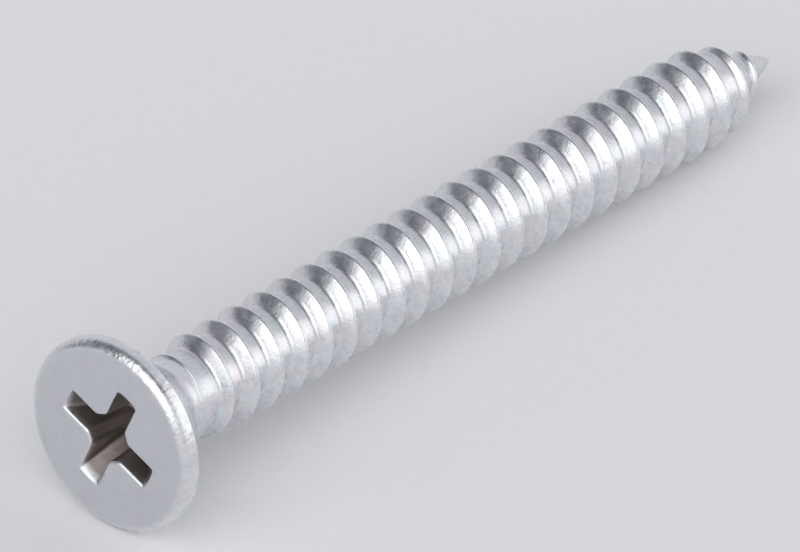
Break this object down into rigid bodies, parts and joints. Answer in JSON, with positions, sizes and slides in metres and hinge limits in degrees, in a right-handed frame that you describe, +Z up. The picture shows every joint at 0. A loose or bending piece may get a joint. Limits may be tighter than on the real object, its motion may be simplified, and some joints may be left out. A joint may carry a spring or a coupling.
{
  "type": "countersunk self-tapping screw",
  "caption": "Countersunk self-tapping screw with a cross recess in its flat head, a coarse left-hand thread up to the neck and a sharp tapping point, bright zinc plated.",
  "frame": {"origin": "middle of the screw's box, on the surface that it lies on", "axes": "+X along the screw from the head to the point, +Z up; the screw lies on its rim and one thread crest, so its axis dips by about 3 degrees towards the point"},
  "size_m": [0.0392, 0.0078, 0.0079],
  "materials": {
    "zinc_plated_steel": "bright zinc plate, satin on the head face and shiny on the thread"
  },
  "bodies": {
    "root": {"screw": "zinc_plated_steel"}
  },
  "joints": []
}
